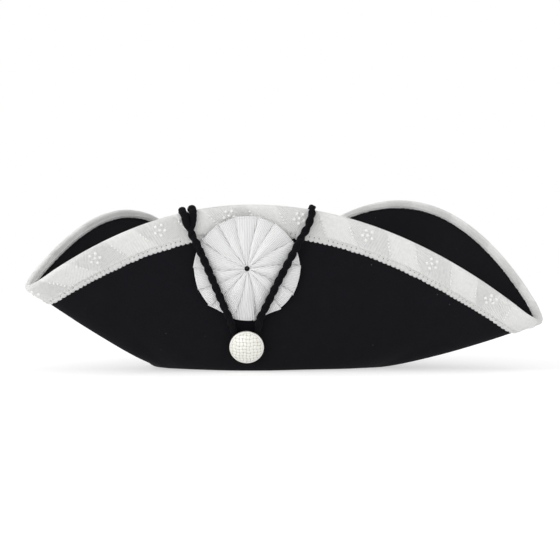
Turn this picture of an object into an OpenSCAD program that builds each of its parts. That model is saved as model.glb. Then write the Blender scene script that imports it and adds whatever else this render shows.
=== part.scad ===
// Black felt tricorn: a hood whose brim is turned up on three sides, bound with a white braid,
// with a pleated ribbon cockade, a cord loop and a shank button on the wearer's left panel.
// Millimetres. +Z is up, the wearer faces -Y, the wearer's left is +X. The origin is the centre
// of the head opening, on the plane that the hat rests on.

/* [Head opening] */
// Inside width of the felt, ear to ear
head_w = 161; // [145:1:195]
// Inside length of the felt, front to back
head_l = 197; // [175:1:240]

/* [Felt] */
// Thickness of the felt
felt_t = 3; // [2:0.1:4]
// Height of the crown's top above the resting plane
crown_h = 105; // [85:1:130]
// Height at which the crown's straight wall turns into its dome
wall_h = 40; // [38:1:60]
// Bend radius at the middle of the felt where the crown turns into the brim
break_r = 3.5; // [2.5:0.1:6]
// Squareness of the crown's dome, where 2 is an ellipse
dome_square = 2.5; // [2:0.1:3.5]

/* [Brim corners] */
// How far the front corner runs out beyond the crown
front_run = 147.5; // [120:1:185]
// Height of the front corner
front_rise = 54; // [40:0.5:75]
// How far each rear corner runs out beyond the crown
rear_run = 157; // [130:1:195]
// Height of each rear corner
rear_rise = 25; // [16:0.5:40]
// Angle of the rear corners behind the ear-to-ear line
rear_a = 25.7; // [18:0.5:35]
// Length along each panel's edge that a corner's rounding takes
nose_l = 31; // [24:1:40]

/* [Brim panels] */
// How far the top of each side panel leans out beyond the crown
side_lean = 33; // [26:1:45]
// Height of each side panel's peak
side_h = 126.5; // [105:0.5:160]
// Angle of each side panel's peak in front of the ear-to-ear line
side_a = 45.4; // [38:0.5:52]
// How far the top of the rear panel leans out beyond the crown
back_lean = 31; // [26:1:45]
// Height of the rear panel's peak
back_h = 136.5; // [115:0.5:170]
// How far a panel bellies out near its foot, towards upright
belly = 26; // [16:1:32]
// How far below the foot a corner's tip points, which turns the tip up
tip_dip = 14; // [0:1:20]

/* [Braid] */
// Width of the braid on the outside of the brim
braid_w = 21.5; // [16:0.5:28]
// Width of the braid on the inside of the brim
braid_in = 4; // [3:0.5:8]
// Thickness of the braid
braid_t = 0.7; // [0.5:0.1:1.4]
// Diameter of the sewing thread
thread_d = 0.6; // [0.4:0.1:0.9]

/* [Sweatband] */
// Height of the sweatband
band_h = 34; // [25:1:36]
// Thickness of the sweatband
band_t = 1.2; // [0.8:0.1:2]
// Length of one of the sweatband's stitches
band_stitch = 4.5; // [3:0.5:6]

/* [Cockade] */
// Diameter of the pleated rosette
cockade_d = 82; // [60:1:90]
// Thickness of the pleated rosette
cockade_t = 2.6; // [2:0.2:4]
// Diameter of the hole at the rosette's centre
cockade_hole = 4; // [3:0.5:8]
// Height of the rosette's centre above the resting plane
cockade_z = 80.5; // [74:0.5:86]
// Diameter of the stiff backing disc
backing_d = 32; // [20:1:50]
// Thickness of the backing disc
backing_t = 0.8; // [0.5:0.1:1.2]

/* [Cord] */
// Diameter of the twisted cord
cord_d = 6; // [4:0.5:7]

/* [Button] */
// Diameter of the button
button_d = 26.5; // [20:0.5:32]
// Rise of the button's dome above its rim
button_dome = 5; // [3:0.5:7]
// Thickness of the button's shell
shell_t = 0.8; // [0.5:0.1:1.2]
// Height of the button above the resting plane
button_z = 22.5; // [18:0.5:24]
// Diameter of the shank's wire
wire_d = 1.2; // [0.8:0.1:1.6]

/* [Hidden] */
$fn = 48;

// ---- the felt's middle surface ----
base_x = head_w / 2 + felt_t / 2;
base_y = head_l / 2 + felt_t / 2;
side_n = 17;
nose_n = 7;
panel_n = side_n + nose_n;
stations = 3 * panel_n;
dome_n = 7;
bend_n = 3;
rise_n = 9;
panel_start = 11;
corner_start = 24;

function unit(v) = v / norm(v);
function flat(v) = [v.x, v.y];
function compass(a) = [cos(a), sin(a), 0];
function curve3(a, m, b, t) = (1 - t) * (1 - t) * a + 2 * t * (1 - t) * m + t * t * b;
function curve4(a, m, n, b, t) = (1 - t) * curve3(a, m, n, t) + t * curve3(m, n, b, t);
function base_r(a) = 1 / norm([cos(a) / base_x, sin(a) / base_y]);
function placed(a, beyond, z) = compass(a) * (base_r(a) + beyond) + [0, 0, z];

corner = [
    placed(-90, front_run, front_rise),
    placed(rear_a, rear_run, rear_rise),
    placed(180 - rear_a, rear_run, rear_rise)
];
peak = [
    placed(-side_a, side_lean, side_h),
    placed(90, back_lean, back_h),
    placed(side_a - 180, side_lean, side_h)
];

// Panel i runs from corner i over peak i to the next corner, and w is the way from its peak.
function span(i, end) = norm(flat(corner[(i + end) % 3] - peak[i]));
function slant(i, end) = flat(corner[(i + end) % 3] - peak[i]) / span(i, end);
function heading(i) = (slant(i, 1) / span(i, 1) - slant(i, 0) / span(i, 0))
    / (1 / span(i, 0) + 1 / span(i, 1));
function turning(i) = 2 * (slant(i, 0) + slant(i, 1)) / (span(i, 0) + span(i, 1));
function share(i, w) = w / span(i, w < 0 ? 0 : 1);
function panel_edge(i, w) = let (
        p = flat(peak[i]) + heading(i) * w + turning(i) * w * w / 2,
        drop = peak[i].z - corner[(i + (w < 0 ? 0 : 1)) % 3].z
    ) [p.x, p.y, peak[i].z - drop * pow(share(i, w), 2)];
function fullness(i, w) = 1 - pow(share(i, w), 2);

// The brim's edge at station s: whole numbers are the rings of the mesh.
function turn_no(s) = floor((s + stations) % stations / panel_n);
function step_no(s) = (s + stations) % stations - turn_no(s) * panel_n;
function way(i, k) = nose_l - span(i, 0) + (span(i, 0) + span(i, 1) - 2 * nose_l) * k / side_n;
function edge_at(s) = let (i = turn_no(s), k = step_no(s), j = (i + 1) % 3)
    k <= side_n
        ? panel_edge(i, way(i, k))
        : curve3(panel_edge(i, way(i, side_n)), corner[j], panel_edge(j, way(j, 0)),
            (k - side_n) / nose_n);
function full_at(s) = let (i = turn_no(s), k = step_no(s), j = (i + 1) % 3)
    k <= side_n
        ? fullness(i, way(i, k))
        : curve3(fullness(i, way(i, side_n)), 0, fullness(j, way(j, 0)), (k - side_n) / nose_n);
// 0 round a corner's nose and 1 well along a panel
function smooth(x) = let (c = max(0, min(1, x))) c * c * (3 - 2 * c);
function clear_of_nose(s) = let (i = turn_no(s), k = step_no(s), w = way(i, k))
    k <= side_n ? smooth((min(w + span(i, 0), span(i, 1) - w) / nose_l - 1) / 2) : 0;
function bearing(s) = let (e = edge_at(s)) atan2(e.y, e.x);
function foot(s) = placed(bearing(s), break_r, felt_t / 2);
// Unit vector from the edge down the brim, square to the edge except round a nose
function fall(s) = let (
        e = edge_at(s),
        along = unit(edge_at(s + 0.02) - edge_at(s - 0.02)),
        outward = unit([along.y, -along.x, 0]),
        sunk = [0, 0, tip_dip * pow(1 - full_at(s), 2)],
        down = unit(foot(s) + outward * belly * full_at(s) - sunk - e)
    ) unit(down - along * (down * along) * clear_of_nose(s));
// The brim stays flat from its edge to a little below the braid
flat_w = braid_w + 3.5;
// A point of the brim: q runs from 0 at the end of the flat strip to 1 at the foot
function brim_point(s, q) = let (
        f = foot(s),
        b = edge_at(s) + fall(s) * flat_w,
        pull = (0.3 + 0.25 * full_at(s)) * norm(f - b),
        start = panel_start + (corner_start - panel_start) * pow(1 - full_at(s), 2)
    ) curve4(b, b + fall(s) * pull, f + compass(bearing(s)) * start, f, q);
// A point of the brim d below the edge
function mid(s, d) = d <= flat_w
    ? edge_at(s) + fall(s) * d
    : brim_point(s, (d - flat_w) / norm(foot(s) - edge_at(s) - fall(s) * flat_w));
// Unit vector square to the brim, towards the crown
function inward(s, d) = unit(cross(mid(s, d - 0.5) - mid(s, d + 0.5),
    mid(s + 0.05, d) - mid(s - 0.05, d)));

function crown_row(share, out, z) = [for (j = [0:stations - 1])
    compass(bearing(j)) * (base_r(bearing(j)) * share + out) + [0, 0, z]];
dome_rows = [for (k = [0:dome_n]) let (a = 90 * (1 - k / dome_n))
    crown_row(pow(cos(a), 2 / dome_square), 0,
        wall_h + (crown_h - felt_t / 2 - wall_h) * pow(sin(a), 2 / dome_square))];
bend_rows = [for (k = [0:bend_n]) let (a = 90 * k / bend_n)
    crown_row(1, break_r * (1 - cos(a)), felt_t / 2 + break_r * (1 - sin(a)))];
rise_rows = [for (k = [1:rise_n]) [for (j = [0:stations - 1]) brim_point(j, 1 - k / rise_n)]];
strip_rows = [for (d = [braid_w, braid_in, 0]) [for (j = [0:stations - 1]) mid(j, d)]];
rows = concat(dome_rows, bend_rows, rise_rows, strip_rows);
last = len(rows) - 1;
foot_row = dome_n + bend_n + 1;
braid_row = foot_row + rise_n + 1;

function beside(j, n) = (j + n + stations) % stations;
function normal(i, j) = i == 0 || i == foot_row ? [0, 0, 1]
    : unit(cross(rows[min(i + 1, last)][j] - rows[i - 1][j],
        rows[i][beside(j, 1)] - rows[i][beside(j, -1)]));
normals = [for (i = [0:last]) [for (j = [0:stations - 1]) normal(i, j)]];
function offset_point(i, j, off) = rows[i][j] + normals[i][j] * off;

// ---- meshes ----
function quad(a, b, c, d, flip) = flip ? [[a, c, b], [a, d, c]] : [[a, b, c], [a, c, d]];
function flatten(groups) = [for (g = groups) for (x = g) x];

// A closed ring mesh: sections[j] is a loop of points, and the sections follow each other round
module ring_mesh(sections) {
    n = len(sections[0]);
    m = len(sections);
    polyhedron(flatten(sections), flatten([for (j = [0:m - 1]) for (k = [0:n - 1])
        let (a = j * n, b = ((j + 1) % m) * n, l = (k + 1) % n)
        quad(a + k, b + k, b + l, a + l, false)]), convexity = 8);
}

// A tube with flat ends: sections[j] is a loop of points
module tube_mesh(sections) {
    n = len(sections[0]);
    m = len(sections);
    polyhedron(flatten(sections), concat(
        flatten([for (j = [0:m - 2]) for (k = [0:n - 1])
            let (a = j * n, b = (j + 1) * n, l = (k + 1) % n)
            quad(a + k, b + k, b + l, a + l, false)]),
        [[for (k = [0:n - 1]) k]],
        [[for (k = [n - 1:-1:0]) (m - 1) * n + k]]), convexity = 8);
}

// ---- the felt ----
module felt_hood() {
    side = 1 + last * stations;
    top = concat([offset_point(0, 0, felt_t / 2)],
        [for (i = [1:last]) for (j = [0:stations - 1]) offset_point(i, j, felt_t / 2)]);
    under = concat([offset_point(0, 0, -felt_t / 2)],
        [for (i = [1:last]) for (j = [0:stations - 1]) let (p = offset_point(i, j, -felt_t / 2))
            [p.x, p.y, max(0, p.z)]]);
    function at(i, j) = 1 + (i - 1) * stations + j % stations;
    caps = [for (j = [0:stations - 1]) each [
        [0, at(1, j + 1), at(1, j)],
        [side, side + at(1, j), side + at(1, j + 1)]]];
    skins = [for (i = [1:last - 1]) for (j = [0:stations - 1]) each concat(
        quad(at(i, j), at(i, j + 1), at(i + 1, j + 1), at(i + 1, j), false),
        quad(side + at(i, j), side + at(i, j + 1), side + at(i + 1, j + 1), side + at(i + 1, j),
            true))];
    edge = [for (j = [0:stations - 1]) each
        quad(at(last, j), at(last, j + 1), side + at(last, j + 1), side + at(last, j), false)];
    color([0.035, 0.033, 0.045])
        polyhedron(concat(top, under), concat(caps, skins, edge), convexity = 10);
}

// ---- the braid, folded over the edge ----
braid_gap = 0.3;
braid_off = felt_t / 2 + braid_gap + braid_t;
fold_n = 4;
// Points round the brim's edge at a radius r, from the outside to the inside
function fold(j, r) = [for (k = [0:fold_n]) let (a = 180 * k / fold_n - 90)
    rows[last][j] - fall(j) * r * cos(a) + normals[last][j] * r * sin(a)];
function braid_side(j, r) = concat(
    [for (i = [braid_row:last - 1]) offset_point(i, j, -r)],
    fold(j, r),
    [offset_point(last - 1, j, r)]);
function reversed(v) = [for (k = [len(v) - 1:-1:0]) v[k]];
module edge_braid() {
    color([0.86, 0.86, 0.87])
        ring_mesh([for (j = [0:stations - 1])
            reversed(concat(braid_side(j, braid_off), reversed(braid_side(j, braid_off - braid_t))))]);
}

// Two rows of sewing thread along the braid's borders
thread_n = 5;
function thread_row(d, side) = [for (j = [0:stations - 1]) let (
        n = inward(j, d) * side,
        c = mid(j, d) + n * (braid_off + thread_d * 0.75),
        out = unit(n),
        over = fall(j) * side
    ) [for (k = [0:thread_n - 1]) let (a = 360 * k / thread_n)
        c + (out * cos(a) + over * sin(a)) * thread_d / 2]];
module braid_thread() {
    color([0.93, 0.93, 0.92]) {
        ring_mesh(thread_row(braid_w - 2.5, -1));
        ring_mesh(thread_row(braid_in - 1.5, 1));
    }
}

// ---- the sweatband ----
band_gap = 0.5;
function oval(inset) = [for (j = [0:stations - 1]) let (a = bearing(j))
    flat(compass(a)) / norm([cos(a) / (head_w / 2 - inset), sin(a) / (head_l / 2 - inset)])];
module sweatband() {
    color([0.05, 0.05, 0.055])
        linear_extrude(band_h)
            difference() {
                polygon(oval(band_gap));
                polygon(oval(band_gap + band_t));
            }
}

stitches_n = 72;
stitch_z = 6;
module sweatband_thread() {
    inset = band_gap + band_t + thread_d / 2 + 0.6;
    rx = head_w / 2 - inset;
    ry = head_l / 2 - inset;
    color([0.09, 0.09, 0.095])
        for (k = [0:stitches_n - 1]) {
            a = 360 * (k + 0.5) / stitches_n;
            translate([rx * cos(a), ry * sin(a), stitch_z])
                rotate([0, 90, atan2(ry * cos(a), -rx * sin(a))])
                    cylinder(h = band_stitch, d = thread_d, center = true, $fn = 16);
        }
}

// ---- threads that tie the turned-up panels to the crown ----
tack_z = 32;
tack_bite = 1;
// How far below the edge the brim is at height z, on station s
function depth_at(s, z, d, n) = n == 0 ? d
    : depth_at(s, z, d + (mid(s, d).z - z) / (mid(s, d).z - mid(s, d + 1).z), n - 1);
module rod(a, b, d) {
    v = b - a;
    translate(a)
        rotate([0, acos(v.z / norm(v)), atan2(v.y, v.x)])
            cylinder(h = norm(v), d = d, $fn = 16);
}
module brim_tacks() {
    color([0.06, 0.06, 0.065])
        for (i = [0:2]) {
            s = i * panel_n + side_n * (span(i, 0) - nose_l)
                / (span(i, 0) + span(i, 1) - 2 * nose_l);
            d = depth_at(s, tack_z, 80, 5);
            b = mid(s, d) + inward(s, d) * (felt_t / 2 - tack_bite);
            c = compass(bearing(s)) * (base_r(bearing(s)) + felt_t / 2 - tack_bite);
            rod([c.x, c.y, b.z], b, 2 * thread_d);
        }
}

// ---- places on the trimmed panel ----
// The trimmed panel is drawn as seen from face_a: h to the right and z up
face_a = -37.3;
right = compass(face_a + 90);
function spot(h, z, s = 7, d = 60, n = 8) = n == 0 ? [s, d] : let (
        p = mid(s, d),
        ps = (mid(s + 0.1, d) - p) / 0.1,
        pd = mid(s, d + 1) - p,
        miss = [h - p * right, z - p.z],
        det = (ps * right) * pd.z - (pd * right) * ps.z
    ) spot(h, z, s + (miss.x * pd.z - miss.y * (pd * right)) / det,
        d + (miss.y * (ps * right) - miss.x * ps.z) / det, n - 1);
// Children sit on the felt's outside at (h, z), their own +Z straight out of it
module on_panel(h, z, lift) {
    at = spot(h, z);
    out = -inward(at[0], at[1]);
    x = unit(right - out * (right * out));
    y = cross(out, x);
    p = mid(at[0], at[1]) + out * (felt_t / 2 + lift);
    multmatrix([
        [x.x, y.x, out.x, p.x],
        [x.y, y.y, out.y, p.y],
        [x.z, y.z, out.z, p.z],
        [0, 0, 0, 1]
    ]) children();
}

// ---- the cockade ----
trim_h = -22;
cockade_lift = braid_gap + braid_t + 0.4;
// The rosette leans out on the braid at its top
cockade_lean = 2.5;
module on_rosette_plane(up) {
    on_panel(trim_h, cockade_z, cockade_lift)
        rotate([cockade_lean, 0, 0])
            translate([0, 0, up])
                children();
}
ribbon_up = backing_t + 0.1;
rim_t = 1.8;
rim_drop = 1.2;
module cockade_ribbon() {
    r = cockade_d / 2;
    hole = cockade_hole / 2;
    color([0.9, 0.9, 0.92])
        on_rosette_plane(ribbon_up)
            rotate_extrude($fn = 96)
                polygon([
                    [hole, 0], [backing_d / 2, 0], [r, -rim_drop],
                    [r, rim_t - rim_drop], [hole, cockade_t]
                ]);
}
module cockade_backing() {
    color([0.12, 0.12, 0.13])
        on_rosette_plane(0)
            difference() {
                cylinder(h = backing_t, d = backing_d);
                translate([0, 0, -1])
                    cylinder(h = backing_t + 2, d = cockade_hole);
            }
}
module cockade_stitch() {
    knot_up = tack_bite + cockade_lift + ribbon_up + cockade_t / 2;
    color([0.1, 0.1, 0.1])
        on_panel(trim_h, cockade_z, -tack_bite) {
            cylinder(h = knot_up, d = cockade_hole / 2);
            translate([0, 0, knot_up])
                sphere(d = cockade_hole * 0.7);
        }
}

// ---- the cord ----
// It runs from inside the brim over the left edge, down over the rosette, round under the
// button's shank and back up over the edge on the right.
cord_r = cord_d / 2;
cord_gap = 0.3;
cord_n = 10;
turn_r = 6;
// Each ring is [centre, direction away from what it lies on, share of the cord's height]
function on_felt(h, z, lift, high = 1) = let (at = spot(h, z), out = -inward(at[0], at[1]))
    [mid(at[0], at[1]) + out * (felt_t / 2 + lift + cord_r * high), out, high];
rosette_at = spot(trim_h, cockade_z);
panel_out = -inward(rosette_at[0], rosette_at[1]);
rosette_x = unit(right - panel_out * (right * panel_out));
panel_y = cross(panel_out, rosette_x);
rosette_y = panel_y * cos(cockade_lean) + panel_out * sin(cockade_lean);
rosette_out = cross(rosette_x, rosette_y);
function on_rosette(x, y, up) = [mid(rosette_at[0], rosette_at[1])
    + panel_out * (felt_t / 2 + cockade_lift) + rosette_x * x + rosette_y * y
    + rosette_out * (ribbon_up + up + cord_r), rosette_out, 1];
// Past the braid the cord settles towards the felt
settle = 0.9;
// Share of its height that the cord keeps where it folds over the edge
edge_high = 0.7;
fold_r = braid_off + thread_d * 1.4 + cord_gap + cord_r * edge_high;
// Over the edge at station s, and down the inside to the sewn end
function over_edge(s) = concat(
    [for (a = [-60, -20, 20, 60]) let (n = inward(s, 0), out = n * sin(a) - fall(s) * cos(a))
        [edge_at(s) + out * fold_r, out, edge_high]],
    [for (d = [4, 12, 20, 28]) [mid(s, d) + inward(s, d) * (fold_r - (d > 12 ? settle : 0)),
        inward(s, d), d > 4 ? 1 : edge_high]]);
on_braid = braid_gap + braid_t + thread_d * 1.4 + cord_gap;
left_top = [for (p = [[-67, 122], [-66, 113], [-64, 106]]) on_felt(p.x, p.y, on_braid)];
left_leg = [for (p = [[-38, 18.5, 1.4], [-32.5, 6, 1.8], [-26, -9.4, 2], [-19.4, -25, 1.7],
    [-16, -33, 1.5], [-13.2, -39, 1.3]]) on_rosette(p.x, p.y, p.z)];
left_foot = [on_felt(-31.5, 33, 1.2, 0.8), on_felt(-29, 27, cord_gap, 0.7)];
bight = [for (a = [180, 215, 250, 290, 325, 360])
    on_felt(trim_h + turn_r * cos(a), button_z + turn_r * sin(a), cord_gap, 0.7)];
right_foot = [on_felt(-15.6, 27, cord_gap, 0.7), on_felt(-14, 33, 1.2, 0.8)];
right_leg = [for (p = [[9.6, -39, 1.3], [12.5, -33, 1.5], [16.4, -25, 1.7], [24, -9.4, 2],
    [32, 6, 1.8], [38, 17.5, 1.4]]) on_rosette(p.x, p.y, p.z)];
right_top = [for (p = [[20.5, 106], [24.5, 113], [27.5, 122]]) on_felt(p.x, p.y, on_braid)];
left_s = spot(-67, 122)[0];
right_s = spot(27.5, 122)[0];
cord_rings = concat(reversed(over_edge(left_s)), left_top, left_leg, left_foot, bight,
    right_foot, right_leg, right_top, over_edge(right_s));
function cord_section(k) = let (
        end = len(cord_rings) - 1,
        ring = cord_rings[k],
        ahead = unit(cord_rings[min(k + 1, end)][0] - cord_rings[max(k - 1, 0)][0]),
        up = unit(ring[1] - ahead * (ring[1] * ahead)),
        side = cross(ahead, up)
    ) [for (n = [0:cord_n - 1]) let (a = -360 * n / cord_n)
        ring[0] + up * cord_r * ring[2] * cos(a) + side * cord_r * sin(a)];
module loop_cord() {
    color([0.03, 0.03, 0.035])
        tube_mesh([for (k = [0:len(cord_rings) - 1]) cord_section(k)]);
}

// Thread bars that hold the cord's two ends on the inside of the brim
module cord_tacks() {
    bar_r = cord_r + cord_gap + thread_d;
    color([0.1, 0.1, 0.105])
        for (s = [left_s, right_s])
            for (d = [20, 25]) {
                in = inward(s, d);
                x = unit(cross(fall(s), in));
                y = cross(in, x);
                p = mid(s, d) + in * (fold_r - settle);
                multmatrix([
                    [x.x, y.x, in.x, p.x], [x.y, y.y, in.y, p.y], [x.z, y.z, in.z, p.z],
                    [0, 0, 0, 1]
                ])
                    rotate([90, 0, 0]) {
                        rotate_extrude(angle = 180)
                            translate([bar_r, 0])
                                circle(d = thread_d, $fn = 16);
                        for (side = [-1, 1])
                            translate([side * bar_r, 0, 0])
                                rotate([90, 0, 0])
                                    cylinder(h = fold_r - settle - felt_t / 2 + tack_bite,
                                        d = thread_d, $fn = 16);
                    }
            }
}

// ---- the button, its shank and its thread ----
turn_gap = 0.35;
anchor_up = 0.5;
stem_d = 4.4;
thread_bar_d = 1.1;
leg_x = stem_d / 2 - thread_bar_d / 2 - 0.15;
base_t = 0.9;
eye_r = 1;
eye_up = anchor_up + turn_gap + base_t + turn_gap + wire_d + eye_r;
back_up = eye_up + 2.1;
back_t = 0.8;
rim_h = 1.2;
module thread_anchor() {
    color([0.09, 0.09, 0.095])
        on_panel(trim_h, button_z, 0) {
            translate([0, 0, -felt_t - 1.5])
                cylinder(h = 1.5, d = stem_d);
            translate([0, 0, -felt_t])
                cylinder(h = felt_t + anchor_up, d = stem_d / 2);
        }
}
module thread_loop() {
    color([0.1, 0.1, 0.105])
        on_panel(trim_h, button_z, anchor_up + turn_gap) {
            cylinder(h = base_t, d = stem_d);
            for (side = [-1, 1])
                translate([side * leg_x, 0, 0])
                    cylinder(h = eye_up - anchor_up - turn_gap + thread_bar_d * 0.6,
                        d = thread_bar_d, $fn = 24);
            translate([0, 0, eye_up - anchor_up - turn_gap])
                rotate([0, 90, 0])
                    cylinder(h = 2 * leg_x, d = thread_bar_d * 0.85, center = true, $fn = 24);
        }
}
module button_shank() {
    loop_r = eye_r + wire_d / 2;
    color([0.7, 0.7, 0.68])
        on_panel(trim_h, button_z, eye_up)
            rotate([0, 90, 0]) {
                rotate([0, 0, -90])
                    rotate_extrude(angle = 180)
                        translate([loop_r, 0])
                            circle(d = wire_d, $fn = 24);
                for (side = [-1, 1])
                    translate([0, side * loop_r, 0])
                        rotate([0, -90, 0])
                            cylinder(h = back_up - eye_up, d = wire_d, $fn = 24);
            }
}
module button_back() {
    color([0.75, 0.75, 0.72])
        on_panel(trim_h, button_z, back_up)
            cylinder(h = back_t, d = button_d - 2 * shell_t - 0.2);
}
module button_shell() {
    r = button_d / 2;
    // A cap of height button_dome over the rim
    function cap(rr, rise) = let (R = (rr * rr + rise * rise) / (2 * rise))
        [for (k = [0:12]) let (x = rr * (1 - k / 12)) [x, sqrt(R * R - x * x) - (R - rise)]];
    color([0.88, 0.88, 0.85])
        on_panel(trim_h, button_z, back_up)
            rotate_extrude()
                polygon(concat(
                    [[r, 0]],
                    [for (p = cap(r, button_dome)) [p.x, p.y + rim_h]],
                    reversed([for (p = cap(r - shell_t, button_dome - shell_t / 2))
                        [p.x, p.y + rim_h - shell_t / 2]]),
                    [[r - shell_t, 0]]));
}

felt_hood();
edge_braid();
braid_thread();
sweatband();
sweatband_thread();
brim_tacks();
cockade_ribbon();
cockade_backing();
cockade_stitch();
loop_cord();
cord_tacks();
thread_anchor();
thread_loop();
button_shell();
button_back();
button_shank();
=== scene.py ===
"""Looks of the black felt tricorn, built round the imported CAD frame.

Lengths are in millimetres until a mesh is made; MM turns them into metres.
The brim is the same surface as the CAD's: station s runs round the edge, d runs down from it.
"""
import math

import bpy
import numpy as np
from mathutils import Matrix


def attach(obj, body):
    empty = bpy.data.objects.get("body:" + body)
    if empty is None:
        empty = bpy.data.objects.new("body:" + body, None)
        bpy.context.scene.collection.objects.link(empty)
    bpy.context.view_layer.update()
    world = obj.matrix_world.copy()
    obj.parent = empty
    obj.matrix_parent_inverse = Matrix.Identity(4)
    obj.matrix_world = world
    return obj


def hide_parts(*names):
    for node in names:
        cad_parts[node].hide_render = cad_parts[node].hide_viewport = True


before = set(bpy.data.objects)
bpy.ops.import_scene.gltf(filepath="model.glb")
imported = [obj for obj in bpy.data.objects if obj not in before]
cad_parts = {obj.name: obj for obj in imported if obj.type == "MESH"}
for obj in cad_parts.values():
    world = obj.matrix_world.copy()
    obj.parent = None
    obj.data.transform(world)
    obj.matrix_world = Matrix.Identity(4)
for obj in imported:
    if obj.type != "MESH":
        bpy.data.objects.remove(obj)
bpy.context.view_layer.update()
MM = 0.001
TAU = 2 * math.pi
UP = np.array([0, 0, 1.0])

# ---------------------------------------------------------------- sizes, as in the CAD
HEAD_W, HEAD_L = 161.0, 197.0
FELT_T, CROWN_H, WALL_H, BREAK_R, DOME_SQUARE = 3.0, 105.0, 40.0, 3.5, 2.5
FRONT_RUN, FRONT_RISE = 147.5, 54.0
REAR_RUN, REAR_RISE, REAR_A = 157.0, 25.0, 25.7
NOSE_L, BELLY, TIP_DIP = 31.0, 26.0, 14.0
SIDE_LEAN, SIDE_H, SIDE_A = 33.0, 126.5, 45.4
BACK_LEAN, BACK_H = 31.0, 136.5
BRAID_W, BRAID_IN, BRAID_T, BRAID_GAP = 21.5, 4.0, 0.7, 0.3
FLAT_W = BRAID_W + 3.5
BRAID_OFF = FELT_T / 2 + BRAID_GAP + BRAID_T
THREAD_D = 0.6
BAND_H, BAND_T, BAND_GAP, BAND_STITCH = 34.0, 1.2, 0.5, 4.5
COCKADE_D, COCKADE_Z = 82.0, 80.5
BACKING_T, COCKADE_LEAN = 0.8, 2.5
COCKADE_LIFT = BRAID_GAP + BRAID_T + 0.4
RIBBON_UP = BACKING_T + 0.1
CORD_D, CORD_GAP, TURN_R = 6.0, 0.3, 6.0
CORD_R = CORD_D / 2
BUTTON_D, BUTTON_DOME, RIM_H, BUTTON_Z = 26.5, 5.0, 1.2, 22.5
BACK_UP = 6.4
TRIM_H, FACE_A = -22.0, math.radians(-37.3)
TACK_Z = 32.0
PANEL_START, CORNER_START = 11.0, 24.0
SIDE_N, NOSE_N = 17, 7
PANEL_N = SIDE_N + NOSE_N
STATIONS = 3 * PANEL_N


# ---------------------------------------------------------------- the felt's middle surface
def unit(v):
    return v / np.linalg.norm(v, axis=-1, keepdims=True)


def compass(a):
    a = np.asarray(a, float)
    return np.stack([np.cos(a), np.sin(a), np.zeros_like(a)], -1)


def col(x):
    return np.asarray(x, float)[..., None]


def curve3(a, m, b, t):
    return (1 - t) ** 2 * a + 2 * t * (1 - t) * m + t * t * b


def curve4(a, m, n, b, t):
    return (1 - t) * curve3(a, m, n, t) + t * curve3(m, n, b, t)


def lengths(points):
    """Length from the first point to each, along the line through them."""
    return np.concatenate([[0], np.cumsum(np.linalg.norm(np.diff(points, axis=0), axis=1))])


def smooth(x):
    c = np.clip(x, 0, 1)
    return c * c * (3 - 2 * c)


BASE_X, BASE_Y = (HEAD_W + FELT_T) / 2, (HEAD_L + FELT_T) / 2


def base_r(a):
    return 1 / np.hypot(np.cos(a) / BASE_X, np.sin(a) / BASE_Y)


def placed(a, beyond, z):
    return compass(a) * col(base_r(a) + beyond) + UP * z


CORNER = np.array([
    placed(math.radians(a), run, rise)
    for a, run, rise in [(-90, FRONT_RUN, FRONT_RISE), (REAR_A, REAR_RUN, REAR_RISE),
                         (180 - REAR_A, REAR_RUN, REAR_RISE)]
])
PEAK = np.array([
    placed(math.radians(a), lean, h)
    for a, lean, h in [(-SIDE_A, SIDE_LEAN, SIDE_H), (90, BACK_LEAN, BACK_H),
                       (SIDE_A - 180, SIDE_LEAN, SIDE_H)]
])
REACH = np.array([[(CORNER[(i + e) % 3] - PEAK[i])[:2] for e in (0, 1)] for i in range(3)])
SPAN = np.linalg.norm(REACH, axis=-1)
SLANT = REACH / SPAN[..., None]
HEADING = ((SLANT[:, 1] / SPAN[:, 1:] - SLANT[:, 0] / SPAN[:, :1])
           / (1 / SPAN[:, :1] + 1 / SPAN[:, 1:]))
TURNING = 2 * (SLANT[:, 0] + SLANT[:, 1]) / SPAN.sum(1, keepdims=True)


def panel_edge(i, w):
    end = (w >= 0).astype(int)
    xy = PEAK[i][..., :2] + HEADING[i] * col(w) + TURNING[i] * col(w * w / 2)
    drop = PEAK[i][..., 2] - CORNER[(i + end) % 3][..., 2]
    z = PEAK[i][..., 2] - drop * (w / SPAN[i, end]) ** 2
    return np.concatenate([xy, col(z)], -1)


def fullness(i, w):
    return 1 - (w / SPAN[i, (w >= 0).astype(int)]) ** 2


def way(i, k):
    return NOSE_L - SPAN[i, 0] + (SPAN[i].sum(-1) - 2 * NOSE_L) * k / SIDE_N


def split_station(s):
    n = np.mod(np.asarray(s, float), STATIONS)
    i = np.minimum((n // PANEL_N).astype(int), 2)
    return i, n - i * PANEL_N, (i + 1) % 3


def edge_at(s):
    i, k, j = split_station(s)
    side = panel_edge(i, way(i, np.minimum(k, SIDE_N)))
    t = col(np.maximum(k - SIDE_N, 0) / NOSE_N)
    last, first = np.full_like(k, SIDE_N), np.zeros_like(k)
    nose = curve3(panel_edge(i, way(i, last)), CORNER[j], panel_edge(j, way(j, first)), t)
    return np.where(col(k) <= SIDE_N, side, nose)


def full_at(s):
    i, k, j = split_station(s)
    t = np.maximum(k - SIDE_N, 0) / NOSE_N
    last, first = np.full_like(k, SIDE_N), np.zeros_like(k)
    nose = curve3(fullness(i, way(i, last)), 0, fullness(j, way(j, first)), t)
    return np.where(k <= SIDE_N, fullness(i, way(i, np.minimum(k, SIDE_N))), nose)


def clear_of_nose(s):
    i, k, _ = split_station(s)
    w = way(i, k)
    near = np.minimum(w + SPAN[i, 0], SPAN[i, 1] - w)
    return np.where(k <= SIDE_N, smooth((near / NOSE_L - 1) / 2), 0)


def bearing(s):
    e = edge_at(s)
    return np.arctan2(e[..., 1], e[..., 0])


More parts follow.
